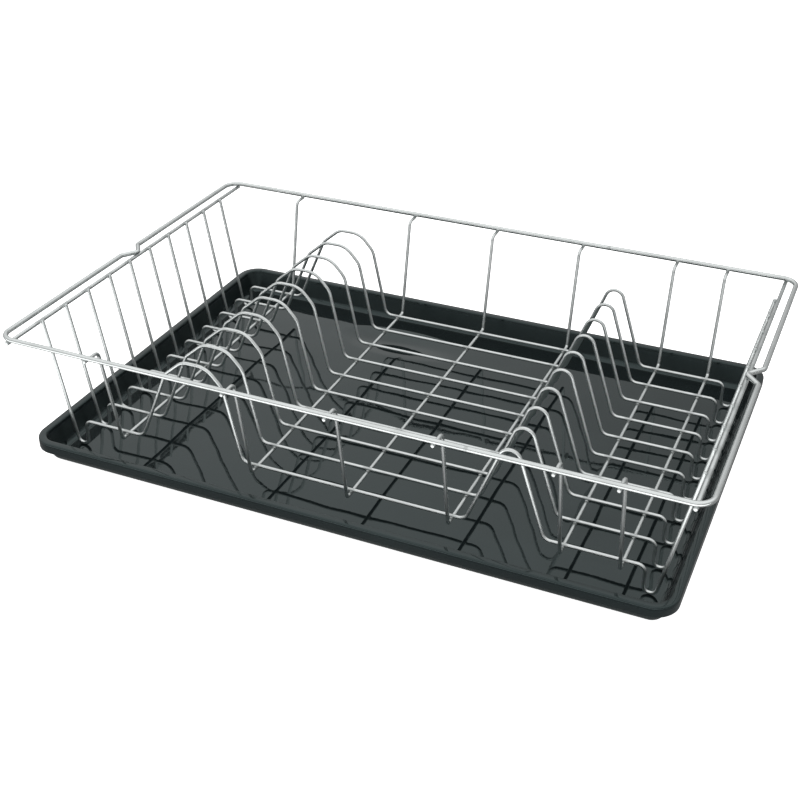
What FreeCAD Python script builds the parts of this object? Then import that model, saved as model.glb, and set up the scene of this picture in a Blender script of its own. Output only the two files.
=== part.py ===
"""Dish drying rack: a welded wire basket standing in a moulded drip tray.

Millimetres. +X runs along the length, -Y is the front, +Z is up. The origin is on the surface
that the tray stands on, under the middle of the whole rack.
"""
import FreeCAD, Part
import math
import os

from FreeCAD import Vector

# Rim: one thick wire bent into a rounded rectangle
RIM_LENGTH = 480.0            # between the centre lines of the short sides
RIM_WIDTH = 310.0             # between the centre lines of the long sides
RIM_HEIGHT = 98.5             # centre line above the floor of the tray
RIM_WIRE_D = 3.6
RIM_CORNER_R = 11.0

# Notch: the middle of each short side is bent in to meet the rail
NOTCH_HALF_WIDTH = 11.0
NOTCH_SHOULDER_R = 4.0
NOTCH_TIP_R = 3.0
NOTCH_PAST_RAIL = 1.0         # corner of the notch beyond the centre line of the rail

# Side rails: straight wires that carry the ends of the plate wires
RAIL_WIRE_D = 2.8
RAIL_INSET_LEFT = 6.8         # rail centre line inside the short side of the rim
RAIL_INSET_RIGHT = 8.4
RAIL_OVERHANG = 1.5           # rail end past the centre line of the rim

# Plate wires: long bent wires that stand the plates up
PLATE_WIRES = 10
PLATE_WIRE_D = 2.4
PLATE_PITCH = 26.7
FLOOR_HEIGHT = 20.8           # plate wire centre line above the floor of the tray
FOOT_INSET_LEFT = 34.0        # riser of the foot inside the short side of the rim
FOOT_INSET_RIGHT = 37.0
FOOT_R = 4.0                  # both bends of a foot
FOOT_GAP = 0.3                # air under each foot, so that basket and tray are free
FLOOR_END_R = 5.0
PLATE_END_RISE = 0.3          # wire end above the top of the rail

# Wide hump for dinner plates: corners as (across, up, bend radius) from the foot of its left leg
WIDE_HUMP_INSET = 83.0        # foot of its left leg from the left end of the rim
WIDE_HUMP = [(0.0, 0.0, 8.0), (23.5, 55.4, 9.0), (38.0, 68.0, 12.0),
             (56.5, 68.0, 16.0), (68.0, 55.0, 15.0), (80.0, 0.0, 6.0)]

# Narrow hump for saucers and bowls, written the same way
NARROW_HUMP_INSET = 154.5     # foot of its left leg from the right end of the rim
NARROW_HUMP = [(0.0, 0.0, 7.0), (28.0, 74.0, 7.0), (52.6, 0.0, 6.0)]

# Cross wires: from rim to rim under the plate wires, one on each side of each hump,
# one in the middle bay and one in the right bay
CROSS_WIRE_D = 2.5
CROSS_LEFT_OF_WIDE = 13.5
CROSS_RIGHT_OF_WIDE = 10.0
CROSS_MIDDLE_X = 4.8
CROSS_LEFT_OF_NARROW = 9.3
CROSS_RIGHT_OF_NARROW = 12.4
CROSS_LAST_INSET = 51.2       # last one from the right end of the rim
CROSS_GAP_FRONT = 6.3         # floor corner past the outermost plate wire
CROSS_GAP_BACK = 10.5
CROSS_CORNER_R = 2.8
CROSS_HOOK_FRONT = 14.0       # level stretch from the rim's centre line inwards
CROSS_HOOK_BACK = 10.0
CROSS_HOOK_R = 4.5
CROSS_OVERHANG = 1.6          # wire end past the centre line of the rim

WELD_SINK = 0.1               # depth that crossing wires are pressed into each other

# Drip tray: a little shorter than the rim and a little wider
TRAY_END_INSET = 9.6          # each end inside the rim's centre line
TRAY_SIDE_OUTSET = 3.25       # each long side outside the rim's centre line
TRAY_HEIGHT = 19.6
TRAY_WALL = 2.0
LIP_WIDTH = 5.6               # flat top of the edge
LIP_OUTER_R = 1.5
LIP_INNER_R = 1.4
SKIRT_DEPTH = 7.7             # edge turned down from the lip
SKIRT_EDGE_R = 0.5
WALL_RUN = 5.0                # how far the sloping wall comes in on its way down
TRAY_BEND_R = 5.0             # inside bend between wall and floor
FLOOR_MARGIN = 1.3            # flat floor past that bend, and corner of the floor slab

# Where the basket has been set down on the tray, from centre to centre
BASKET_FORWARD = 5.2
BASKET_RIGHT = 1.5

# Derived places
SAME_POINT = 1e-6
tray_floor = TRAY_WALL
tray_length = RIM_LENGTH - 2 * TRAY_END_INSET
tray_width = RIM_WIDTH + 2 * TRAY_SIDE_OUTSET
rim_half_length = RIM_LENGTH / 2
rim_half_width = RIM_WIDTH / 2
rim_z = tray_floor + RIM_HEIGHT
rim_r = RIM_WIRE_D / 2
rail_r = RAIL_WIRE_D / 2
plate_r = PLATE_WIRE_D / 2
cross_r = CROSS_WIRE_D / 2
rail_z = rim_z - rim_r - rail_r + WELD_SINK
floor_z = tray_floor + FLOOR_HEIGHT
cross_floor_z = floor_z - plate_r - cross_r + WELD_SINK
cross_top_z = rim_z - rim_r - cross_r + WELD_SINK
wide_hump_x = WIDE_HUMP_INSET - rim_half_length
narrow_hump_x = rim_half_length - NARROW_HUMP_INSET
cross_wire_x = [wide_hump_x - CROSS_LEFT_OF_WIDE,
                wide_hump_x + WIDE_HUMP[-1][0] + CROSS_RIGHT_OF_WIDE,
                CROSS_MIDDLE_X,
                narrow_hump_x - CROSS_LEFT_OF_NARROW,
                narrow_hump_x + NARROW_HUMP[-1][0] + CROSS_RIGHT_OF_NARROW,
                rim_half_length - CROSS_LAST_INSET]
front_reach = rim_half_width + rim_r + BASKET_FORWARD
back_reach = tray_width / 2
tray_y = (front_reach - back_reach) / 2
basket_y = tray_y - BASKET_FORWARD
tray_x = -BASKET_RIGHT


def rounded_path(corners, closed=False):
    """Wire through (point, radius) corners: straight runs joined by tangent arcs."""
    count = len(corners)
    starts, arcs, ends = [], [], []
    for i, (point, radius) in enumerate(corners):
        at_end = not closed and i in (0, count - 1)
        if at_end or radius == 0:
            starts.append(point)
            ends.append(point)
            arcs.append(None)
            continue
        back = (corners[i - 1][0] - point).normalize()
        ahead = (corners[(i + 1) % count][0] - point).normalize()
        half = back.getAngle(ahead) / 2
        cut = radius / math.tan(half)
        middle = (back + ahead).normalize()
        mid_point = point + middle * (radius / math.sin(half) - radius)
        starts.append(point + back * cut)
        ends.append(point + ahead * cut)
        arcs.append(Part.Arc(starts[-1], mid_point, ends[-1]).toShape())
    edges = []
    for i in range(count):
        if arcs[i]:
            edges.append(arcs[i])
        follower = i + 1
        if follower == count:
            if not closed:
                break
            follower = 0
        if ends[i].distanceToPoint(starts[follower]) > SAME_POINT:
            edges.append(Part.LineSegment(ends[i], starts[follower]).toShape())
    return Part.Wire(edges)


def rod(path, radius):
    """Round bar along a path."""
    start_edge = path.OrderedEdges[0]
    start = start_edge.valueAt(start_edge.FirstParameter)
    direction = start_edge.tangentAt(start_edge.FirstParameter)
    section = Part.Wire([Part.makeCircle(radius, start, direction)])
    return path.makePipeShell([section], True, False)


def export(shape, node):
    shape.exportStep("parts/" + node + ".step")
    print(f"{node}: {shape.Volume:.0f} mm3, valid {shape.isValid()}, solids {len(shape.Solids)}")


def rail_x(side):
    return rim_half_length - (RAIL_INSET_LEFT if side < 0 else RAIL_INSET_RIGHT)


def rim_half_path(side):
    """Half of the rim, from the middle of the back to the middle of the front."""
    x = side * rim_half_length
    tip_x = side * (rail_x(side) - NOTCH_PAST_RAIL)
    outline = [(0.0, rim_half_width, 0.0),
               (x, rim_half_width, RIM_CORNER_R),
               (x, NOTCH_HALF_WIDTH, NOTCH_SHOULDER_R),
               (tip_x, 0.0, NOTCH_TIP_R),
               (x, -NOTCH_HALF_WIDTH, NOTCH_SHOULDER_R),
               (x, -rim_half_width, RIM_CORNER_R),
               (0.0, -rim_half_width, 0.0)]
    return rounded_path([(Vector(px, py + basket_y, rim_z), r) for px, py, r in outline])


def make_rim():
    halves = [rod(rim_half_path(side), rim_r) for side in (-1, 1)]
    return halves[0].fuse(halves[1]).removeSplitter()


def make_rail(side):
    reach = rim_half_width + RAIL_OVERHANG
    start = Vector(side * rail_x(side), basket_y - reach, rail_z)
    return Part.makeCylinder(rail_r, 2 * reach, start, Vector(0, 1, 0))


def plate_wire_end(side):
    """Corners (x, z, bend radius) from the end at the rail to the end of the floor stretch."""
    inset = FOOT_INSET_LEFT if side < 0 else FOOT_INSET_RIGHT
    riser_x = rim_half_length - inset
    heel_x = riser_x + 2 * FOOT_R
    foot_z = tray_floor + FOOT_GAP + plate_r
    end_z = rail_z + rail_r + PLATE_END_RISE
    to_rail_x = rail_x(side) - heel_x
    to_rail_z = rail_z - foot_z
    touch = rail_r + plate_r - WELD_SINK
    lean = math.atan2(to_rail_x, to_rail_z) - math.asin(touch / math.hypot(to_rail_x, to_rail_z))
    end_x = heel_x + (end_z - foot_z) * math.tan(lean)
    corners = [(end_x, end_z, 0.0), (heel_x, foot_z, FOOT_R),
               (riser_x, foot_z, FOOT_R), (riser_x, floor_z, FLOOR_END_R)]
    return [(side * x, z, r) for x, z, r in corners]


def hump_corners(start_x, hump):
    return [(start_x + across, floor_z + up, r) for across, up, r in hump]


def make_plate_wire(index):
    y = basket_y + (index - (PLATE_WIRES - 1) / 2) * PLATE_PITCH
    outline = plate_wire_end(-1)
    outline += hump_corners(wide_hump_x, WIDE_HUMP)
    outline += hump_corners(narrow_hump_x, NARROW_HUMP)
    outline += reversed(plate_wire_end(1))
    return rod(rounded_path([(Vector(x, y, z), r) for x, z, r in outline]), plate_r)


def make_cross_wire(x):
    last_plate = (PLATE_WIRES - 1) / 2 * PLATE_PITCH
    end_y = rim_half_width + CROSS_OVERHANG
    outline = [(-end_y, cross_top_z, 0.0),
               (CROSS_HOOK_FRONT - rim_half_width, cross_top_z, CROSS_HOOK_R),
               (-last_plate - CROSS_GAP_FRONT, cross_floor_z, CROSS_CORNER_R),
               (last_plate + CROSS_GAP_BACK, cross_floor_z, CROSS_CORNER_R),
               (rim_half_width - CROSS_HOOK_BACK, cross_top_z, CROSS_HOOK_R),
               (end_y, cross_top_z, 0.0)]
    return rod(rounded_path([(Vector(x, basket_y + y, z), r) for y, z, r in outline]), cross_r)


def tray_section():
    """Section of the tray edge as (inset, height) corners with their radii."""
    slope = math.atan2(WALL_RUN, TRAY_HEIGHT - tray_floor)
    wall_shift = TRAY_WALL / math.cos(slope)
    foot_inset = LIP_WIDTH + WALL_RUN
    under_lip = TRAY_HEIGHT - TRAY_WALL
    under_run = TRAY_WALL * math.tan(slope)
    bend_run = TRAY_BEND_R * math.tan((math.pi / 2 - slope) / 2)
    floor_inset = foot_inset + bend_run + FLOOR_MARGIN
    skirt_z = TRAY_HEIGHT - SKIRT_DEPTH
    outer_top = LIP_WIDTH + under_run - wall_shift
    outer_foot = foot_inset + under_run - wall_shift
    corners = [(0.0, skirt_z, SKIRT_EDGE_R), (0.0, TRAY_HEIGHT, LIP_OUTER_R),
               (LIP_WIDTH, TRAY_HEIGHT, LIP_INNER_R), (foot_inset, tray_floor, TRAY_BEND_R),
               (floor_inset, tray_floor, 0.0), (floor_inset, 0.0, 0.0),
               (outer_foot, 0.0, TRAY_BEND_R + TRAY_WALL), (outer_top, under_lip, 0.0),
               (TRAY_WALL, under_lip, 0.0), (TRAY_WALL, skirt_z, SKIRT_EDGE_R)]
    return corners, floor_inset


def rounded_slab(half_length, half_width, radius, thickness):
    outline = []
    for sx, sy in ((-1, -1), (1, -1), (1, 1), (-1, 1)):
        outline.append((Vector(sx * half_length, sy * half_width, 0.0), radius))
    return Part.Face(rounded_path(outline, closed=True)).extrude(Vector(0, 0, thickness))


def turned(shape, degrees):
    return shape.rotated(Vector(0, 0, 0), Vector(0, 0, 1), degrees)


def make_tray():
    corners, floor_inset = tray_section()
    half_length = tray_length / 2
    half_width = tray_width / 2
    corner_r = floor_inset + FLOOR_MARGIN
    straight_x = half_length - corner_r
    straight_y = half_width - corner_r
    pieces = [rounded_slab(half_length - floor_inset, half_width - floor_inset,
                           FLOOR_MARGIN, tray_floor)]
    section = Part.Face(rounded_path([(Vector(-u, 0, z), r) for u, z, r in corners], closed=True))
    side = section.translated(Vector(half_length, -straight_y, 0))
    side = side.extrude(Vector(0, 2 * straight_y, 0))
    back = turned(section, 90).translated(Vector(-straight_x, half_width, 0))
    back = back.extrude(Vector(2 * straight_x, 0, 0))
    pieces += [side, turned(side, 180), back, turned(back, 180)]
    corner = section.translated(Vector(corner_r, 0, 0))
    corner = corner.revolve(Vector(0, 0, 0), Vector(0, 0, 1), 90)
    for quarter, (sx, sy) in enumerate(((1, 1), (-1, 1), (-1, -1), (1, -1))):
        place = Vector(sx * straight_x, sy * straight_y, 0)
        pieces.append(turned(corner, 90 * quarter).translated(place))
    tray = pieces[0].multiFuse(pieces[1:]).removeSplitter()
    return tray.translated(Vector(tray_x, tray_y, 0))


os.makedirs("parts", exist_ok=True)
export(make_tray(), "drip_tray")
export(make_rim(), "rim_wire")
export(make_rail(-1), "left_side_rail")
export(make_rail(1), "right_side_rail")
for wire in range(PLATE_WIRES):
    export(make_plate_wire(wire), f"plate_wire_{wire + 1:02d}")
for number, wire_x in enumerate(cross_wire_x, start=1):
    export(make_cross_wire(wire_x), f"cross_wire_{number}")
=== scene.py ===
import math

import bpy
from bpy.props import FloatProperty, FloatVectorProperty, IntProperty, PointerProperty
from mathutils import Matrix, Vector


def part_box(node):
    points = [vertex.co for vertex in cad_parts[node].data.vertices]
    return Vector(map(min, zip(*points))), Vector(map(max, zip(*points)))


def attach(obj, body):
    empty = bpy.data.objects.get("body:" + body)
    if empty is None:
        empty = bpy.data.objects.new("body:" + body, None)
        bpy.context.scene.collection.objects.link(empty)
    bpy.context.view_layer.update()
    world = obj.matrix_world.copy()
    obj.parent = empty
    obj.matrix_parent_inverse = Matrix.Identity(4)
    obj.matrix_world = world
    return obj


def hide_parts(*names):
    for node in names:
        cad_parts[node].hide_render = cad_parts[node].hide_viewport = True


bl_info = {
    "name": "Dish drying rack",
    "version": (1, 0, 0),
    "blender": (4, 5, 0),
    "location": "View3D > Sidebar > Drying rack",
    "description": "Bends the wires, presses the tray and dresses a dish drying rack",
    "category": "Add Mesh",
}

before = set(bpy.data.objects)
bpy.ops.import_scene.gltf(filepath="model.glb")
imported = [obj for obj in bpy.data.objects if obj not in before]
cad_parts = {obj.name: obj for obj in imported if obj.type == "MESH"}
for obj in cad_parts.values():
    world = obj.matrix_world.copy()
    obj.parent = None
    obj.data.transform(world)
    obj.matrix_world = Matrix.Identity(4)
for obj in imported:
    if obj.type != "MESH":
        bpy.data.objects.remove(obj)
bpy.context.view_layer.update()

PLATE_NODES = sorted(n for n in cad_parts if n.startswith("plate_wire_"))
CROSS_NODES = sorted(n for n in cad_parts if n.startswith("cross_wire_"))
RAIL_NODES = ("left_side_rail", "right_side_rail")

# Humps of a plate wire: (across, up, bend radius) from the foot of the left leg, metres
WIDE_HUMP = ((0.0, 0.0, 0.008), (0.0235, 0.0554, 0.009), (0.038, 0.068, 0.012),
             (0.0565, 0.068, 0.016), (0.068, 0.055, 0.015), (0.080, 0.0, 0.006))
NARROW_HUMP = ((0.0, 0.0, 0.007), (0.028, 0.074, 0.007), (0.0526, 0.0, 0.006))

BEND_STEP = math.radians(5)
SMOOTH_ANGLE = math.radians(35)
WELD_SINK = 0.0001            # how far welded wires are pressed into each other
PAST_RAIL = 0.0003            # how far a plate wire's end stands above its rail
FIT = 0.00015                 # a finished piece has the size of the part it stands for, within this
MERGE = 0.00001               # points closer than this are one point
LEVEL = 1e-5                  # points this near a height are on it

# Weld beads, metres: length, width, height
FLOOR_BEAD = (0.0030, 0.0026, 0.0011)
RAIL_BEAD = (0.0030, 0.0030, 0.0013)
RIM_BEAD = (0.0032, 0.0028, 0.0012)
BEAD_SINK = 0.00005           # how far a bead starts inside the wire that it lies on
# A bead of unit size grows from its sunk foot by these (rise, spread) steps
BEAD_STEPS = ((0.2, 1.75), (0.3, 1.27), (0.3, 0.79), (0.2, 0.57))

# Reach of the dull skin on each side of a weld or seam, metres
FLOOR_WELD_SKIN = 0.0045
RAIL_WELD_SKIN = 0.008
RIM_SEAM_SKIN = 0.0018
RIM_SEAM_X = 0.097            # the rim's wire is butt welded here
THIN_WIRE_SATIN = 0.12        # thin wire is plated less smoothly than the rim

# The tray's floor: cuts along and across, how far the ripple takes to grow, length of a swell
FLOOR_CUTS = (("X", 30), ("Y", 20))
RIPPLE_GROWTH = 0.02
SWELL_LENGTH = 0.11
# A shallow dip that the moulding left in the floor near the back wall: centre x, y, reach x, y
SINK_MARK = (-0.060, 0.110, 0.058, 0.026)

# The stage: half widths and heights of the floor and of the dimly glowing grey sheet over it, which only
# reflections see, metres
FLOOR_REACH = 7.0
FLOOR_Z = -0.0012
CARD_REACH = 3.0
CARD_Z = -0.0006
WHITE = (1.0, 1.0, 1.0, 1.0)


def middle(node):
    low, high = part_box(node)
    return (low + high) / 2


# Places that the frame gives
rim_low, rim_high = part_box("rim_wire")
tray_low, tray_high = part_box("drip_tray")
plate_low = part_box(PLATE_NODES[0])[0]
cross_low, cross_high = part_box(CROSS_NODES[0])
basket_y = middle("rim_wire").y


# ------------------------------------------------------------------ sizes and colours

class RackWires(bpy.types.PropertyGroup):
    """Sizes of the basket's wires."""
    rim_diameter: FloatProperty(
        name="Rim wire", description="Thickness of the rim wire", default=0.0036, unit="LENGTH")
    rail_diameter: FloatProperty(
        name="Rail wire", description="Thickness of the two side rails", default=0.0028, unit="LENGTH")
    plate_diameter: FloatProperty(
        name="Plate wire", description="Thickness of the bent plate wires", default=0.0024, unit="LENGTH")
    cross_diameter: FloatProperty(
        name="Cross wire", description="Thickness of the cross wires", default=0.0025, unit="LENGTH")
    rim_corner: FloatProperty(
        name="Rim corner", description="Bend radius of the rim's corners", default=0.011, unit="LENGTH")
    notch_half_width: FloatProperty(
        name="Notch half width", description="Half the width of the notch in each short side",
        default=0.011, unit="LENGTH")
    notch_shoulder: FloatProperty(
        name="Notch shoulder", description="Bend radius where the notch leaves the short side",
        default=0.004, unit="LENGTH")
    notch_tip: FloatProperty(
        name="Notch tip", description="Bend radius at the tip of the notch", default=0.003, unit="LENGTH")
    notch_past_rail: FloatProperty(
        name="Notch past rail", description="Corner of the notch beyond the rail's centre line",
        default=0.001, unit="LENGTH")
    floor_height: FloatProperty(
        name="Wire floor", description="Height of the plate wires' level stretches",
        default=0.0228, unit="LENGTH")
    foot_inset_left: FloatProperty(
        name="Left foot", description="Riser of the left feet inside the rim's short side",
        default=0.034, unit="LENGTH")
    foot_inset_right: FloatProperty(
        name="Right foot", description="Riser of the right feet inside the rim's short side",
        default=0.037, unit="LENGTH")
    foot_bend: FloatProperty(
        name="Foot bend", description="Bend radius at the feet", default=0.004, unit="LENGTH")
    floor_bend: FloatProperty(
        name="Floor bend", description="Bend radius where a foot turns into the wire floor",
        default=0.005, unit="LENGTH")
    wide_hump_inset: FloatProperty(
        name="Wide hump", description="Start of the wide hump from the left end of the rim",
        default=0.083, unit="LENGTH")
    narrow_hump_inset: FloatProperty(
        name="Narrow hump", description="Start of the narrow hump from the right end of the rim",
        default=0.1545, unit="LENGTH")
    hook_front: FloatProperty(
        name="Front hook", description="Level stretch of a cross wire inside the front of the rim",
        default=0.014, unit="LENGTH")
    hook_back: FloatProperty(
        name="Back hook", description="Level stretch of a cross wire inside the back of the rim",
        default=0.010, unit="LENGTH")
    hook_bend: FloatProperty(
        name="Hook bend", description="Bend radius of the hooks", default=0.0045, unit="LENGTH")
    cross_gap_front: FloatProperty(
        name="Front gap", description="Cross wire's floor corner in front of the first plate wire",
        default=0.0063, unit="LENGTH")
    cross_gap_back: FloatProperty(
        name="Back gap", description="Cross wire's floor corner behind the last plate wire",
        default=0.0105, unit="LENGTH")
    cross_bend: FloatProperty(
        name="Cross bend", description="Bend radius of the cross wires at the floor",
        default=0.0028, unit="LENGTH")
    sides: IntProperty(name="Sides", description="Faces round a wire", default=18, min=8, max=48)


class RackTray(bpy.types.PropertyGroup):
    """Sizes of the drip tray."""
    wall: FloatProperty(
        name="Wall", description="Wall thickness", default=0.002, unit="LENGTH")
    corner: FloatProperty(
        name="Corner", description="Radius of the tray's corners, seen from above",
        default=0.01698, unit="LENGTH")
    lip_width: FloatProperty(
        name="Lip", description="Width of the flat top edge", default=0.0056, unit="LENGTH")
    lip_outer_round: FloatProperty(
        name="Outer rounding", description="Rounding of the lip's outer edge",
        default=0.0015, unit="LENGTH")
    lip_inner_round: FloatProperty(
        name="Inner rounding", description="Rounding of the lip's inner edge",
        default=0.00112, unit="LENGTH")
    skirt_round: FloatProperty(
        name="Skirt rounding", description="Rounding of the skirt's bottom edges",
        default=0.0005, unit="LENGTH")
    skirt: FloatProperty(
        name="Skirt", description="Depth of the edge turned down from the lip",
        default=0.0077, unit="LENGTH")
    wall_run: FloatProperty(
        name="Wall slope", description="How far the wall comes in on its way down",
        default=0.005, unit="LENGTH")
    bend: FloatProperty(
        name="Bend", description="Inside bend between wall and floor", default=0.005, unit="LENGTH")
    ripple: FloatProperty(
        name="Ripple", description="Unevenness of the moulded floor", default=0.0002, unit="LENGTH")


class RackFinish(bpy.types.PropertyGroup):
    """Colours and gloss."""
    steel: FloatVectorProperty(
        name="Wire", description="Colour of the bright wire", subtype="COLOR",
        default=(0.675, 0.705, 0.70), min=0, max=1)
    steel_shade: FloatVectorProperty(
        name="Wire shade", description="Colour of the duller patches of the wire", subtype="COLOR",
        default=(0.50, 0.525, 0.52), min=0, max=1)
    steel_roughness: FloatProperty(
        name="Wire roughness", description="Roughness of the bright wire", default=0.2,
        min=0, max=1, subtype="FACTOR")
    plastic: FloatVectorProperty(
        name="Tray", description="Colour of the tray's plastic", subtype="COLOR",
        default=(0.0055, 0.0080, 0.0086), min=0, max=1)
    plastic_sheen: FloatVectorProperty(
        name="Tray gloss", description="Tint of the gloss on the tray", subtype="COLOR",
        default=(0.78, 1.0, 1.0), min=0, max=1)
    plastic_roughness: FloatProperty(
        name="Tray roughness", description="Roughness of the tray's gloss", default=0.015,
        min=0, max=1, subtype="FACTOR")


class RackStage(bpy.types.PropertyGroup):
    """Camera, light and floor."""
    camera_place: FloatVectorProperty(
        name="Camera", description="Place of the camera", subtype="TRANSLATION",
        default=(0.30425, -0.7345, 0.5033))
    azimuth: FloatProperty(
        name="Azimuth", description="Turn of the camera to the right of the front",
        default=math.radians(23.41), subtype="ANGLE")
    elevation: FloatProperty(
        name="Elevation", description="Tilt of the camera above the horizon",
        default=math.radians(31.17), subtype="ANGLE")
    roll: FloatProperty(
        name="Roll", description="Roll of the camera", default=math.radians(0.28), subtype="ANGLE")
    lens: FloatProperty(
        name="Lens", description="Focal length on a 36 mm sensor", default=56.5,
        subtype="DISTANCE_CAMERA")
    horizon: FloatProperty(
        name="Horizon", description="Brightness of the surround near the horizon",
        default=0.45, min=0)
    sky: FloatProperty(
        name="Sky", description="Brightness of the surround well above the horizon",
        default=0.86, min=0)
    zenith: FloatProperty(
        name="Zenith", description="Brightness of the surround overhead", default=1.12, min=0)
    glow: FloatProperty(
        name="Floor glow", description="How brightly the floor itself glows", default=0.95, min=0)
    right_dim: FloatProperty(
        name="Right side", description="How much dimmer the surround is on the right",
        default=0.36, min=0, max=1)
    front_dim: FloatProperty(
        name="Front", description="How much dimmer the surround is low in front of the rack",
        default=0.5, min=0, max=1)
    back_dim: FloatProperty(
        name="Back", description="How much dimmer the surround is straight behind the rack",
        default=0.38, min=0, max=1)
    # card_front and card: reach and glow of the grey sheet that only reflections see; it paints darker
    # reflections into the wires
    card_front: FloatProperty(
        name="Card in front", description="How far the grey card comes out in front of the tray",
        default=0.06, unit="LENGTH")
    card: FloatProperty(
        name="Card", description="Brightness of the grey card that only reflections show",
        default=0.28, min=0)


# ------------------------------------------------------------------ hand tools

def only(piece):
    """Makes this piece the only selected one, and the active one."""
    bpy.ops.object.select_all(action="DESELECT")
    piece.select_set(True)
    bpy.context.view_layer.objects.active = piece


def pick(piece, kind, test):
    """Selects the VERT, EDGE or FACE elements whose points all pass the test, in edit mode."""
    bpy.ops.object.mode_set(mode="EDIT")
    bpy.ops.mesh.select_mode(type=kind)
    bpy.ops.mesh.select_all(action="DESELECT")
    bpy.ops.object.mode_set(mode="OBJECT")
    mesh = piece.data
    points = [v.co for v in mesh.vertices]
    if kind == "VERT":
        for vertex in mesh.vertices:
            vertex.select = test([vertex.co])
    else:
        for item in (mesh.edges if kind == "EDGE" else mesh.polygons):
            item.select = test([points[i] for i in item.vertices])
    bpy.ops.object.mode_set(mode="EDIT")


def settle(piece, name, material):
    """Leaves edit mode, points the faces outwards, shades the piece and names it."""
    bpy.ops.object.mode_set(mode="EDIT")
    bpy.ops.mesh.select_all(action="SELECT")
    bpy.ops.mesh.normals_make_consistent(inside=False)
    bpy.ops.object.mode_set(mode="OBJECT")
    only(piece)
    bpy.ops.object.shade_smooth_by_angle(angle=SMOOTH_ANGLE)
    piece.name = name
    piece.data.name = name
    piece.data.materials.clear()
    piece.data.materials.append(material)


def apply_modifier(piece, modifier):
    only(piece)
    bpy.ops.object.modifier_apply(modifier=modifier.name)


def hand_over(piece, body, slot, *nodes):
    """Ties a finished piece to its body and hides the parts it stands for; the slot is not used."""
    if nodes:
        corners = [v.co for v in piece.data.vertices]
        low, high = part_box(nodes[0])
        for axis in range(3):
            least = min(c[axis] for c in corners)
            most = max(c[axis] for c in corners)
            if abs(least - low[axis]) > FIT or abs(most - high[axis]) > FIT:
                raise RuntimeError(f"{piece.name} isn't the size of {nodes[0]} along axis {axis}: "
                                   f"{least:.5f}..{most:.5f}, not {low[axis]:.5f}..{high[axis]:.5f}")
        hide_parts(*nodes)
    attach(piece, body)


def copy_to(piece, name, offset):
    """A copy with its own mesh, moved by offset."""
    only(piece)
    bpy.ops.object.duplicate(linked=False)
    twin = bpy.context.view_layer.objects.active
    bpy.ops.transform.translate(value=offset)
    bpy.ops.object.transform_apply(location=True, rotation=True, scale=True)
    twin.name = name
    twin.data.name = name
    return twin


def bends_of(corners, closed):
    """(start, end, centre, axis, angle) of the bend at each (corner, radius)."""
    bends = []
    count = len(corners)
    for i, (point, radius) in enumerate(corners):
        if not closed and i in (0, count - 1):
            continue
        back = (corners[i - 1][0] - point).normalized()
        ahead = (corners[(i + 1) % count][0] - point).normalized()
        half = back.angle(ahead) / 2
        cut = radius / math.tan(half)
        centre = point + (back + ahead).normalized() * (radius / math.sin(half))
        bends.append((point + back * cut, point + ahead * cut, centre,
                      back.cross(ahead).normalized(), math.pi - 2 * half))
    return bends


def bend_wire(corners, diameter, sides, closed=False):
    """A wire made as on a bending machine: a disc pushed straight, then spun round each bend."""
    bends = bends_of(corners, closed)
    if closed:
        start = bends[-1][1]
        heading = bends[0][0] - start
    else:
        start = corners[0][0]
        heading = corners[1][0] - start
    bpy.ops.object.select_all(action="DESELECT")
    bpy.ops.mesh.primitive_circle_add(
        vertices=sides, radius=diameter / 2, fill_type="NOTHING" if closed else "NGON",
        location=start, rotation=heading.to_track_quat("Z", "Y").to_euler())
    bpy.ops.object.transform_apply(location=True, rotation=True, scale=True)
    wire = bpy.context.view_layer.objects.active
    bpy.ops.object.mode_set(mode="EDIT")
    bpy.ops.mesh.select_all(action="SELECT")
    here = start
    for bend_start, bend_end, centre, axis, angle in bends:
        bpy.ops.mesh.extrude_region_move(TRANSFORM_OT_translate={"value": bend_start - here})
        bpy.ops.mesh.spin(steps=max(2, math.ceil(angle / BEND_STEP)), angle=angle,
                          center=centre, axis=axis)
        here = bend_end
    if closed:
        bpy.ops.mesh.select_all(action="SELECT")
        bpy.ops.mesh.remove_doubles(threshold=5 * MERGE)
        return wire
    bpy.ops.mesh.extrude_region_move(TRANSFORM_OT_translate={"value": corners[-1][0] - here})
    round_ends(wire, diameter, sides)
    return wire


def round_ends(wire, diameter, sides):
    """Takes the sharp edge off both cut ends."""
    pick(wire, "FACE", lambda points: len(points) == sides)
    bpy.ops.mesh.bevel(offset=0.2 * diameter, segments=3, affect="EDGES")


# ------------------------------------------------------------------ shader maths

class Signal:
    """A socket that can be used in a Python expression."""

    def __init__(self, net, socket):
        self.net = net
        self.socket = socket

    def __add__(self, other):
        return self.net.maths("ADD", self, other)

    def __sub__(self, other):
        return self.net.maths("SUBTRACT", self, other)

    def __rsub__(self, other):
        return self.net.maths("SUBTRACT", other, self)

    def __mul__(self, other):
        return self.net.maths("MULTIPLY", self, other)

    def __truediv__(self, other):
        return self.net.maths("DIVIDE", self, other)

    __radd__ = __add__
    __rmul__ = __mul__


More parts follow.
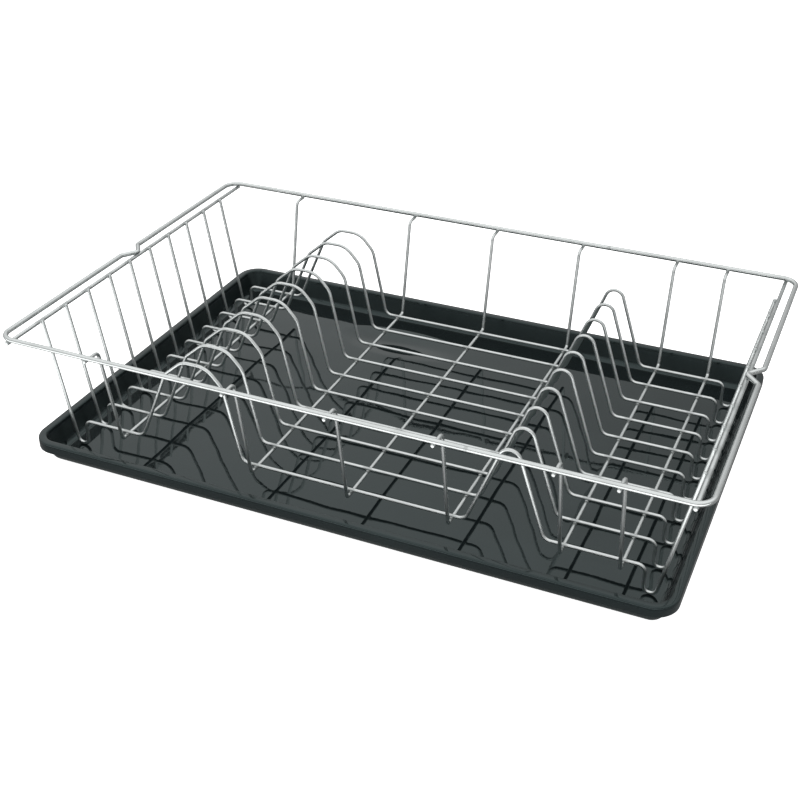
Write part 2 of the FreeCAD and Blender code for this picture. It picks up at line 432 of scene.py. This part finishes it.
class Net:
    """The nodes of one material, or of the surround."""

    def __init__(self, owner):
        self.owner = owner
        self.owner.use_nodes = True
        self.tree = self.owner.node_tree
        self.tree.nodes.clear()

    def node(self, kind, settings=None, sockets=None, out=0):
        """Adds a node: its settings first, then the values or links of its sockets."""
        made = self.tree.nodes.new("ShaderNode" + kind)
        for key, value in (settings or {}).items():
            setattr(made, key, value)
        for key, value in (sockets or {}).items():
            if isinstance(value, Signal):
                self.tree.links.new(value.socket, made.inputs[key])
            else:
                made.inputs[key].default_value = value
        return Signal(self, made.outputs[out]) if len(made.outputs) else made

    def maths(self, operation, first, second=0.0):
        return self.node("Math", {"operation": operation}, {0: first, 1: second})

    def place(self):
        return self.node("TexCoord", out="Object")

    def along(self, vector, axis):
        return self.node("SeparateXYZ", None, {0: vector}, out="XYZ".index(axis))

    def noise(self, vector, scale, detail=2.0, roughness=0.5, stretch=(1, 1, 1)):
        """Noise from 0 to 1; scale is in waves per metre."""
        moved = self.node("Mapping", None, {"Vector": vector, "Scale": stretch})
        return self.node("TexNoise", None, {"Vector": moved, "Scale": scale, "Detail": detail,
                                            "Roughness": roughness})

    def between(self, value, low, high):
        """0 below low, 1 above high, smooth between."""
        return self.node("MapRange", {"interpolation_type": "SMOOTHSTEP"},
                         {"Value": value, "From Min": low, "From Max": high})

    def blend(self, factor, first, second):
        """Mixes two colours."""
        def colour(c):
            return c if isinstance(c, Signal) else (*c, 1.0)
        return self.node("Mix", {"data_type": "RGBA"},
                         {0: factor, 6: colour(first), 7: colour(second)}, out=2)

    def bump(self, height, distance, strength=1.0):
        return self.node("Bump", None, {"Height": height, "Distance": distance,
                                        "Strength": strength})

    def finish(self, sockets):
        shader = self.node("BsdfPrincipled", None, sockets)
        self.node("OutputMaterial", None, {"Surface": shader})
        return self.owner


def bright_steel(name, look, drawn_along, weld_mask=None, satin=0.0):
    """Bright drawn wire: satin gloss, faint drawing lines, duller skin beside the welds."""
    net = Net(bpy.data.materials.new(name))
    place = net.place()
    stretch = tuple(0.04 if axis == drawn_along else 1.0 for axis in "XYZ")
    lines = net.noise(place, 2600.0, 3.0, 0.6, stretch)
    clouds = net.noise(place, 55.0, 3.0, 0.55)
    grain = net.noise(place, 900.0, 2.0, 0.5)
    dull = net.between(clouds, 0.42, 0.72) * 0.45
    if weld_mask:
        dull = net.maths("MAXIMUM", dull, weld_mask(net, place))
    roughness = lines * 0.08 + dull * 0.14 + (look.steel_roughness + satin - 0.05)
    return net.finish({
        "Base Color": net.blend(dull, tuple(look.steel), tuple(look.steel_shade)),
        "Metallic": 1.0,
        "Roughness": roughness,
        "Normal": net.bump(lines * 0.4 + grain * 0.6, 0.00004, 0.16),
    })


def spots_at(places, axis, width):
    """A mask that is 1 near each of these places along an axis."""
    def mask(net, place):
        run = net.along(place, axis)
        near = None
        for centre in places:
            away = net.maths("ABSOLUTE", run - centre)
            spot = 1.0 - net.between(away, width * 0.35, width)
            near = spot if near is None else net.maths("MAXIMUM", near, spot)
        return near
    return mask


def sink_mark(net, place):
    """1 in the middle of the shallow oval dip in the floor, 0 from its edge outwards."""
    centre_x, centre_y, reach_x, reach_y = SINK_MARK
    across = (net.along(place, "X") - centre_x) / reach_x
    along = (net.along(place, "Y") - centre_y) / reach_y
    return 1.0 - net.between(net.maths("SQRT", across * across + along * along), 0.0, 1.0)


def tray_plastic(name, look):
    """Dark glossy moulded plastic: slow waves, a sink mark, wipe marks, dust and duller walls."""
    net = Net(bpy.data.materials.new(name))
    place = net.place()
    waves = net.noise(place, 11.0, 2.0, 0.4)
    swells = net.noise(place, 6.0, 1.0, 0.5)
    smears = net.noise(place, 9.0, 4.0, 0.6, (1.0, 2.6, 1.0))
    peel = net.noise(place, 420.0, 2.0, 0.5)
    dip = sink_mark(net, place)
    scratch = net.noise(place, 700.0, 1.0, 0.5, (0.03, 1.0, 1.0))
    fine = net.between(scratch, 0.66, 0.70)
    dust = net.between(net.noise(place, 1500.0, 1.0, 0.5), 0.74, 0.80)
    smeared = net.between(smears, 0.45, 0.75)
    height = net.along(place, "Z")
    wall = net.between(height, 0.003, 0.006) * (1.0 - net.between(height, 0.0165, 0.0185))
    base = tuple(look.plastic)
    lighter = tuple(min(1.0, c * 1.9 + 0.004) for c in base)
    tint = net.blend(smeared * 0.35 + dust * 0.5, base, lighter)
    return net.finish({
        "Base Color": tint,
        "Roughness": (smeared * 0.02 + fine * 0.03 + dust * 0.1 + wall * 0.28
                      + look.plastic_roughness),
        "IOR": 1.54,
        "Specular Tint": (*look.plastic_sheen, 1.0),
        "Normal": net.bump(waves * 0.7 + swells * 0.3 + peel * 0.003 - dip * 1.25, 0.0044, 0.5),
    })


# ------------------------------------------------------------------ the basket

def plate_wire_end(sizes, side):
    """Corners (x, z, bend) from the end at the rail down to the foot and in to the wire floor."""
    radius = sizes.plate_diameter / 2
    rail = middle(RAIL_NODES[0] if side < 0 else RAIL_NODES[1])
    rim_x = rim_high.x - sizes.rim_diameter / 2
    riser_x = rim_x - (sizes.foot_inset_left if side < 0 else sizes.foot_inset_right)
    heel_x = riser_x + 2 * sizes.foot_bend
    foot_z = plate_low.z + radius
    to_x, to_z = abs(rail.x) - heel_x, rail.z - foot_z
    touch = sizes.rail_diameter / 2 + radius - WELD_SINK
    lean = math.atan2(to_x, to_z) - math.asin(touch / math.hypot(to_x, to_z))
    end_z = rail.z + sizes.rail_diameter / 2 + PAST_RAIL
    end_x = heel_x + (end_z - foot_z) * math.tan(lean)
    corners = [(end_x, end_z, 0.0), (heel_x, foot_z, sizes.foot_bend),
               (riser_x, foot_z, sizes.foot_bend), (riser_x, sizes.floor_height, sizes.floor_bend)]
    return [(side * x, z, r) for x, z, r in corners], lean


def plate_wire_corners(sizes, y):
    """The whole plate wire, from the left rail to the right one."""
    left_end = rim_low.x + sizes.rim_diameter / 2
    right_end = rim_high.x - sizes.rim_diameter / 2
    outline = plate_wire_end(sizes, -1)[0]
    for start, hump in ((left_end + sizes.wide_hump_inset, WIDE_HUMP),
                        (right_end - sizes.narrow_hump_inset, NARROW_HUMP)):
        outline += [(start + across, sizes.floor_height + up, r) for across, up, r in hump]
    outline += reversed(plate_wire_end(sizes, 1)[0])
    return [(Vector((x, y, z)), r) for x, z, r in outline]


class RACK_OT_plate_wires(bpy.types.Operator):
    """Bend the first plate wire and copy it along the basket"""
    bl_idname = "rack.plate_wires"
    bl_label = "Plate wires"

    def execute(self, context):
        sizes = context.scene.rack_wires
        crossings = [middle(n).x for n in CROSS_NODES]
        steel = bright_steel("plate_wire_steel", context.scene.rack_finish, "X",
                             spots_at(crossings, "X", FLOOR_WELD_SKIN), THIN_WIRE_SATIN)
        y = middle(PLATE_NODES[0]).y
        first = bend_wire(plate_wire_corners(sizes, y), sizes.plate_diameter, sizes.sides)
        settle(first, "finished_" + PLATE_NODES[0], steel)
        for node in PLATE_NODES[1:]:
            offset = (0.0, middle(node).y - y, 0.0)
            hand_over(copy_to(first, "finished_" + node, offset), "basket", "bright_wire", node)
        hand_over(first, "basket", "bright_wire", PLATE_NODES[0])
        return {"FINISHED"}


def cross_wire_corners(sizes, x):
    """The whole cross wire, from the front of the rim to the back."""
    radius = sizes.cross_diameter / 2
    rim_half = (rim_high.y - rim_low.y - sizes.rim_diameter) / 2
    floor_z, top_z = cross_low.z + radius, cross_high.z - radius
    first_plate = middle(PLATE_NODES[0]).y
    last_plate = middle(PLATE_NODES[-1]).y
    outline = [(cross_low.y, top_z, 0.0),
               (basket_y - rim_half + sizes.hook_front, top_z, sizes.hook_bend),
               (first_plate - sizes.cross_gap_front, floor_z, sizes.cross_bend),
               (last_plate + sizes.cross_gap_back, floor_z, sizes.cross_bend),
               (basket_y + rim_half - sizes.hook_back, top_z, sizes.hook_bend),
               (cross_high.y, top_z, 0.0)]
    return [(Vector((x, y, z)), r) for y, z, r in outline]


class RACK_OT_cross_wires(bpy.types.Operator):
    """Bend the first cross wire and copy it along the basket"""
    bl_idname = "rack.cross_wires"
    bl_label = "Cross wires"

    def execute(self, context):
        sizes = context.scene.rack_wires
        crossings = [middle(n).y for n in PLATE_NODES]
        steel = bright_steel("cross_wire_steel", context.scene.rack_finish, "Y",
                             spots_at(crossings, "Y", FLOOR_WELD_SKIN), THIN_WIRE_SATIN)
        x = middle(CROSS_NODES[0]).x
        first = bend_wire(cross_wire_corners(sizes, x), sizes.cross_diameter, sizes.sides)
        settle(first, "finished_" + CROSS_NODES[0], steel)
        for node in CROSS_NODES[1:]:
            offset = (middle(node).x - x, 0.0, 0.0)
            hand_over(copy_to(first, "finished_" + node, offset), "basket", "bright_wire", node)
        hand_over(first, "basket", "bright_wire", CROSS_NODES[0])
        return {"FINISHED"}


class RACK_OT_rails(bpy.types.Operator):
    """Cut the two side rails"""
    bl_idname = "rack.rails"
    bl_label = "Side rails"

    def execute(self, context):
        sizes = context.scene.rack_wires
        joints = [middle(n).y for n in PLATE_NODES]
        steel = bright_steel("side_rail_steel", context.scene.rack_finish, "Y",
                             spots_at(joints, "Y", RAIL_WELD_SKIN), THIN_WIRE_SATIN)
        low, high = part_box(RAIL_NODES[0])
        centre = (low + high) / 2
        ends = [(Vector((centre.x, y, centre.z)), 0.0) for y in (low.y, high.y)]
        rail = bend_wire(ends, sizes.rail_diameter, sizes.sides)
        settle(rail, "finished_" + RAIL_NODES[0], steel)
        offset = (middle(RAIL_NODES[1]).x - centre.x, 0.0, 0.0)
        twin = copy_to(rail, "finished_" + RAIL_NODES[1], offset)
        hand_over(twin, "basket", "bright_wire", RAIL_NODES[1])
        hand_over(rail, "basket", "bright_wire", RAIL_NODES[0])
        return {"FINISHED"}


def rim_corners(sizes):
    """The rim's rectangle, with a notch in each short side that reaches its rail."""
    radius = sizes.rim_diameter / 2
    x, y = rim_high.x - radius, (rim_high.y - rim_low.y) / 2 - radius
    half = sizes.notch_half_width
    outline = []
    for side, rail in ((1, RAIL_NODES[1]), (-1, RAIL_NODES[0])):
        tip_x = abs(middle(rail).x) - sizes.notch_past_rail
        outline += [(side * px, side * py, r) for px, py, r in (
            (x, y, sizes.rim_corner), (x, half, sizes.notch_shoulder), (tip_x, 0.0, sizes.notch_tip),
            (x, -half, sizes.notch_shoulder), (x, -y, sizes.rim_corner))]
    return [(Vector((px, basket_y + py, rim_high.z - radius)), r) for px, py, r in outline]


class RACK_OT_rim(bpy.types.Operator):
    """Bend the rim into its notched rectangle and close it"""
    bl_idname = "rack.rim"
    bl_label = "Rim"

    def execute(self, context):
        sizes = context.scene.rack_wires
        steel = bright_steel("rim_steel", context.scene.rack_finish, "X",
                             spots_at([RIM_SEAM_X], "X", RIM_SEAM_SKIN))
        rim = bend_wire(rim_corners(sizes), sizes.rim_diameter, sizes.sides + 6, closed=True)
        settle(rim, "finished_rim_wire", steel)
        hand_over(rim, "basket", "bright_wire", "rim_wire")
        return {"FINISHED"}


def make_bead(length, width, height):
    """One weld bead: a low lump, longer along X, lying on the XY plane."""
    bpy.ops.object.select_all(action="DESELECT")
    bpy.ops.mesh.primitive_circle_add(vertices=10, radius=0.5, fill_type="NGON",
                                      location=(0, 0, -0.5))
    bead = bpy.context.view_layer.objects.active
    bpy.ops.object.transform_apply(location=True, rotation=True, scale=True)
    bpy.ops.object.mode_set(mode="EDIT")
    bpy.ops.mesh.select_all(action="SELECT")
    bpy.ops.transform.resize(value=(0.45, 0.45, 1.0))
    for rise, spread in BEAD_STEPS:
        bpy.ops.mesh.extrude_region_move(TRANSFORM_OT_translate={"value": (0, 0, rise)})
        bpy.ops.transform.resize(value=(spread, spread, 1.0))
    bpy.ops.mesh.select_all(action="SELECT")
    bpy.ops.transform.resize(value=(length, width, height), center_override=(0, 0, 0))
    bpy.ops.object.mode_set(mode="OBJECT")
    return bead


def lay_beads(name, seats, material, bead_size):
    """Copies a bead to each (place, normal, direction) seat and joins them into one piece."""
    pattern = make_bead(*bead_size)
    beads = []
    for i, (place, normal, direction) in enumerate(seats):
        only(pattern)
        bpy.ops.object.duplicate(linked=False)
        bead = bpy.context.view_layer.objects.active
        side = normal.cross(direction).normalized()
        turn = Matrix((direction, side, normal)).transposed().to_4x4()
        size = 1.0 + 0.12 * math.sin(2.4 * i + 0.7)   # no two neighbours are equal
        bead.matrix_world = Matrix.Translation(place) @ turn @ Matrix.Scale(size, 4)
        bpy.ops.object.transform_apply(location=True, rotation=True, scale=True)
        beads.append(bead)
    bpy.data.objects.remove(pattern, do_unlink=True)
    bpy.ops.object.select_all(action="DESELECT")
    for bead in beads:
        bead.select_set(True)
    bpy.context.view_layer.objects.active = beads[0]
    bpy.ops.object.join()
    piece = bpy.context.view_layer.objects.active
    settle(piece, name, material)
    hand_over(piece, "basket", "bright_wire")


class RACK_OT_welds(bpy.types.Operator):
    """Lay the weld beads that hold the wires together"""
    bl_idname = "rack.welds"
    bl_label = "Weld beads"

    def execute(self, context):
        sizes = context.scene.rack_wires
        steel = bright_steel("weld_steel", context.scene.rack_finish, "Z",
                             lambda net, place: net.noise(place, 300.0) * 0.3 + 0.8,
                             THIN_WIRE_SATIN)
        up, down = Vector((0, 0, 1)), Vector((0, 0, -1))
        along_x, along_y = Vector((1, 0, 0)), Vector((0, 1, 0))
        plates = [middle(n).y for n in PLATE_NODES]
        crossings = [middle(n).x for n in CROSS_NODES]
        meet_z = sizes.floor_height - sizes.plate_diameter / 2 + BEAD_SINK
        seats = [(Vector((x, y, meet_z)), up, along_x) for x in crossings for y in plates]
        lay_beads("floor_weld_beads", seats, steel, FLOOR_BEAD)

        rail_radius = sizes.rail_diameter / 2
        for side, node in ((-1, RAIL_NODES[0]), (1, RAIL_NODES[1])):
            lean = plate_wire_end(sizes, side)[1]
            normal = Vector((-side * math.cos(lean), 0, math.sin(lean)))
            rise = Vector((side * math.sin(lean), 0, math.cos(lean)))
            rail = middle(node)
            seats = [(Vector((rail.x, y, rail.z)) + normal * rail_radius, normal, rise)
                     for y in plates]
            lay_beads(node + "_weld_beads", seats, steel, RAIL_BEAD)

        under_rim = rim_low.z + BEAD_SINK
        rim_half = (rim_high.y - rim_low.y - sizes.rim_diameter) / 2
        seats = []
        for side in (-1, 1):
            y = basket_y + side * rim_half
            seats += [(Vector((x, y, under_rim)), down, along_y) for x in crossings]
            seats += [(Vector((middle(n).x, y, under_rim)), down, along_y) for n in RAIL_NODES]
        seats += [(Vector((middle(n).x, basket_y, under_rim)), down, along_y) for n in RAIL_NODES]
        lay_beads("rim_weld_beads", seats, steel, RIM_BEAD)
        return {"FINISHED"}


# ------------------------------------------------------------------ the tray

class RACK_OT_tray(bpy.types.Operator):
    """Press the drip tray from a sheet: lip, sloping wall, floor and turned-down skirt"""
    bl_idname = "rack.tray"
    bl_label = "Drip tray"

    def execute(self, context):
        sizes = context.scene.rack_tray
        centre = (tray_low + tray_high) / 2
        size = tray_high - tray_low
        top, floor = tray_high.z, tray_low.z + sizes.wall
        bpy.ops.object.select_all(action="DESELECT")
        bpy.ops.mesh.primitive_plane_add(size=1.0, location=(centre.x, centre.y, top))
        tray = bpy.context.view_layer.objects.active
        tray.scale = (size.x, size.y, 1.0)
        bpy.ops.object.transform_apply(location=True, rotation=True, scale=True)
        bpy.ops.object.mode_set(mode="EDIT")
        bpy.ops.mesh.select_all(action="SELECT")
        bpy.ops.mesh.bevel(offset=sizes.corner, segments=14, affect="VERTICES")

        # lip, wall and floor, from the outside in
        bpy.ops.mesh.select_all(action="SELECT")
        bpy.ops.mesh.inset(thickness=sizes.lip_width)
        bpy.ops.mesh.inset(thickness=sizes.wall_run, depth=floor - top)

        # round the bend between wall and floor
        slope = math.atan2(sizes.wall_run, top - floor)
        bend_run = sizes.bend * math.tan((math.pi / 2 - slope) / 2)
        pick(tray, "EDGE", lambda points: all(abs(p.z - floor) < LEVEL for p in points))
        bpy.ops.mesh.bevel(offset=bend_run, segments=6, affect="EDGES")

        # turn the skirt down
        pick(tray, "EDGE", lambda points: self.on_outline(points, centre, size, sizes.corner))
        bpy.ops.mesh.extrude_edges_move(
            TRANSFORM_OT_translate={"value": (0, 0, -sizes.skirt)})

        # cut the sheet into a grid, so that it can take a gentle ripple
        bpy.ops.mesh.select_mode(type="VERT")
        for axis, count in FLOOR_CUTS:
            index = "XYZ".index(axis)
            normal = [0.0, 0.0, 0.0]
            normal[index] = 1.0
            reach = size[index] / 2 - sizes.corner
            for i in range(count + 1):
                cut = Vector(centre)
                cut[index] += reach * (2 * i / count - 1)
                bpy.ops.mesh.select_all(action="SELECT")
                bpy.ops.mesh.bisect(plane_co=cut, plane_no=normal)
        bpy.ops.mesh.select_all(action="SELECT")
        bpy.ops.mesh.remove_doubles(threshold=MERGE)
        bpy.ops.mesh.normals_make_consistent(inside=False)
        bpy.ops.object.mode_set(mode="OBJECT")
        self.face_up(tray, centre, floor)

        shell = tray.modifiers.new("thickness", "SOLIDIFY")
        shell.thickness = sizes.wall
        shell.offset = -1.0
        shell.use_even_offset = True
        apply_modifier(tray, shell)

        # soften the edges of the lip and the skirt
        pick(tray, "EDGE", lambda points: self.on_outline(points, centre, size, sizes.corner)
             and all(abs(p.z - top) < LEVEL for p in points))
        bpy.ops.mesh.bevel(offset=sizes.lip_outer_round, segments=5, affect="EDGES")
        inner = Vector((size.x - 2 * sizes.lip_width, size.y - 2 * sizes.lip_width, size.z))
        inner_corner = sizes.corner - sizes.lip_width
        pick(tray, "EDGE", lambda points: self.on_outline(points, centre, inner, inner_corner)
             and all(abs(p.z - top) < LEVEL for p in points))
        bpy.ops.mesh.bevel(offset=sizes.lip_inner_round, segments=5, affect="EDGES")
        skirt_z = top - sizes.skirt
        pick(tray, "EDGE", lambda points: all(abs(p.z - skirt_z) < LEVEL for p in points)
             and self.on_skirt(points, centre, size, sizes))
        bpy.ops.mesh.bevel(offset=sizes.skirt_round, segments=3, affect="EDGES")
        bpy.ops.object.mode_set(mode="OBJECT")

        self.ripple(tray, centre, size, floor, sizes)
        settle(tray, "finished_drip_tray", tray_plastic("tray_plastic", context.scene.rack_finish))
        hand_over(tray, "tray", "tray_plastic", "drip_tray")
        return {"FINISHED"}

    @staticmethod
    def outline_gap(point, centre, size, corner):
        """Distance of a point inside the rounded rectangle of this size, seen from above."""
        dx = abs(point.x - centre.x) - (size.x / 2 - corner)
        dy = abs(point.y - centre.y) - (size.y / 2 - corner)
        if dx > 0 and dy > 0:
            return corner - math.hypot(dx, dy)
        return corner - max(dx, dy)

    def on_outline(self, points, centre, size, corner):
        """True for points on the edge of the rounded rectangle of this size."""
        return all(abs(self.outline_gap(p, centre, size, corner)) < 0.00003 for p in points)

    def on_skirt(self, points, centre, size, sizes):
        """True for points on the skirt's outer face, and for points on its inner face."""
        gaps = [self.outline_gap(p, centre, size, sizes.corner) for p in points]
        return all(abs(g) < 0.00005 for g in gaps) or all(abs(g - sizes.wall) < 0.0002 for g in gaps)

    @staticmethod
    def face_up(tray, centre, floor):
        """Turns the sheet over if its floor looks down."""
        for face in tray.data.polygons:
            if abs(face.center.z - floor) < LEVEL and (face.center - centre).to_2d().length < 0.05:
                if face.normal.z < 0:
                    only(tray)
                    bpy.ops.object.mode_set(mode="EDIT")
                    bpy.ops.mesh.select_all(action="SELECT")
                    bpy.ops.mesh.flip_normals()
                    bpy.ops.object.mode_set(mode="OBJECT")
                return

    def ripple(self, tray, centre, size, floor, sizes):
        """Lets the top of the floor swell and dip a little, as a large thin moulding does."""
        edge = sizes.lip_width + sizes.wall_run + sizes.bend
        group = tray.vertex_groups.new(name="floor_top")
        for vertex in tray.data.vertices:
            if abs(vertex.co.z - floor) < LEVEL:
                gap = self.outline_gap(vertex.co, centre, size, sizes.corner)
                weight = min(1.0, max(0.0, (gap - edge) / RIPPLE_GROWTH))
                group.add([vertex.index], weight, "REPLACE")
        swell = bpy.data.textures.new("floor_swell", "CLOUDS")
        swell.noise_scale = SWELL_LENGTH
        swell.noise_depth = 1
        wave = tray.modifiers.new("ripple", "DISPLACE")
        wave.texture = swell
        wave.texture_coords = "LOCAL"
        wave.direction = "Z"
        wave.strength = sizes.ripple
        wave.mid_level = 0.5
        wave.vertex_group = group.name
        apply_modifier(tray, wave)
        tray.vertex_groups.clear()


# ------------------------------------------------------------------ the stage

class RACK_OT_stage(bpy.types.Operator):
    """Set the floor, the soft light and the camera"""
    bl_idname = "rack.stage"
    bl_label = "Stage"

    def execute(self, context):
        stage = context.scene.rack_stage
        self.lay_floor(stage)
        self.lay_card(stage)
        self.light(stage)
        self.aim(context, stage)
        return {"FINISHED"}

    @staticmethod
    def lay_sheet(name, low, high, z):
        """A flat sheet of the stage between two corners."""
        bpy.ops.object.select_all(action="DESELECT")
        centre = ((low[0] + high[0]) / 2, (low[1] + high[1]) / 2, z)
        bpy.ops.mesh.primitive_plane_add(size=1.0, location=centre)
        sheet = bpy.context.view_layer.objects.active
        sheet.scale = (high[0] - low[0], high[1] - low[1], 1.0)
        sheet.name = name
        return sheet

    def lay_floor(self, stage):
        """The pale floor glows, so it keeps almost no shadow; from below it is clear."""
        floor = self.lay_sheet("pale_floor", (-FLOOR_REACH, -FLOOR_REACH),
                               (FLOOR_REACH, FLOOR_REACH), FLOOR_Z)
        net = Net(bpy.data.materials.new("pale_floor_paint"))
        tint = net.blend(net.noise(net.place(), 1.5), (0.90, 0.90, 0.90), (0.93, 0.93, 0.93))
        top_side = 1.0 - net.node("NewGeometry", out="Backfacing")
        floor.data.materials.append(net.finish({
            "Base Color": tint, "Roughness": 0.9, "Alpha": top_side,
            "Emission Color": WHITE, "Emission Strength": stage.glow}))

    def lay_card(self, stage):
        """A dimly glowing grey sheet under and behind the rack, seen only in reflections: it paints
        darker reflections into the wires.
        """
        card = self.lay_sheet("dark_reflection_glow_sheet", (-CARD_REACH, tray_low.y - stage.card_front),
                              (CARD_REACH, CARD_REACH), CARD_Z)
        net = Net(bpy.data.materials.new("dark_reflection_glow"))
        # painted reflection: the sheet glows dimly, and neither the camera nor diffuse light nor shadows
        # see it
        shade = net.node("Emission", None, {"Color": WHITE, "Strength": stage.card})
        net.node("OutputMaterial", None, {"Surface": shade})
        card.data.materials.append(net.owner)
        card.visible_camera = False
        card.visible_diffuse = False
        card.visible_shadow = False

    @staticmethod
    def light(stage):
        """A soft surround, dim at the horizon and bright overhead, before a white backdrop."""
        world = bpy.data.worlds.new("soft_surround")
        bpy.context.scene.world = world
        net = Net(world)
        way = net.node("TexCoord", out="Generated")
        height, right, back = (net.along(way, axis) for axis in "ZXY")
        sky = net.between(height, 0.05, 0.40) * (stage.sky - stage.horizon) + stage.horizon
        overhead = net.between(height, 0.46, 0.75)
        behind = net.between(right, -0.45, 0.0) * (1.0 - net.between(right, 0.2, 0.5))
        low_front = (1.0 - net.between(back, -0.6, -0.1)) * (1.0 - net.between(height, 0.1, 0.4))
        dim = (net.between(right, 0.15, 0.7) * stage.right_dim + low_front * stage.front_dim
               + behind * net.between(back, 0.2, 0.6) * stage.back_dim)
        bright = (sky + overhead * (stage.zenith - stage.sky)) * (1.0 - dim * (1.0 - overhead))
        seen = net.node("LightPath", out="Is Camera Ray")
        bright = bright * (1.0 - seen) + seen
        glow = net.node("Background", None, {"Color": WHITE, "Strength": bright})
        net.node("OutputWorld", None, {"Surface": glow})

    @staticmethod
    def aim(context, stage):
        """The camera, turned by azimuth and elevation and then rolled."""
        azimuth, elevation = stage.azimuth, stage.elevation
        right = Vector((math.cos(azimuth), math.sin(azimuth), 0))
        back = Vector((math.sin(azimuth) * math.cos(elevation),
                       -math.cos(azimuth) * math.cos(elevation), math.sin(elevation)))
        up = back.cross(right)
        side = right * math.cos(stage.roll) + up * math.sin(stage.roll)
        turn = Matrix((side, back.cross(side), back)).transposed()
        data = bpy.data.cameras.new("camera")
        data.lens = stage.lens
        data.sensor_width = 36.0
        data.clip_start = 0.01
        camera = bpy.data.objects.new("camera", data)
        camera.matrix_world = Matrix.Translation(Vector(stage.camera_place)) @ turn.to_4x4()
        context.scene.collection.objects.link(camera)
        context.scene.camera = camera
        context.scene.view_settings.view_transform = "Standard"


# ------------------------------------------------------------------ the add-on

STEPS = (RACK_OT_rim, RACK_OT_rails, RACK_OT_plate_wires, RACK_OT_cross_wires, RACK_OT_welds,
         RACK_OT_tray, RACK_OT_stage)


class RACK_PT_panel(bpy.types.Panel):
    """The rack's pieces, in the order in which they are made"""
    bl_idname = "RACK_PT_panel"
    bl_label = "Dish drying rack"
    bl_space_type = "VIEW_3D"
    bl_region_type = "UI"
    bl_category = "Drying rack"

    def draw(self, context):
        for step in STEPS:
            self.layout.operator(step.bl_idname)


CLASSES = (RackWires, RackTray, RackFinish, RackStage, *STEPS, RACK_PT_panel)


def register():
    for item in CLASSES:
        bpy.utils.register_class(item)
    bpy.types.Scene.rack_wires = PointerProperty(type=RackWires)
    bpy.types.Scene.rack_tray = PointerProperty(type=RackTray)
    bpy.types.Scene.rack_finish = PointerProperty(type=RackFinish)
    bpy.types.Scene.rack_stage = PointerProperty(type=RackStage)


def unregister():
    for name in ("rack_wires", "rack_tray", "rack_finish", "rack_stage"):
        delattr(bpy.types.Scene, name)
    for item in reversed(CLASSES):
        bpy.utils.unregister_class(item)


def main():
    register()
    for step in STEPS:
        group, name = step.bl_idname.split(".")
        getattr(getattr(bpy.ops, group), name)()


if __name__ == "__main__":
    main()
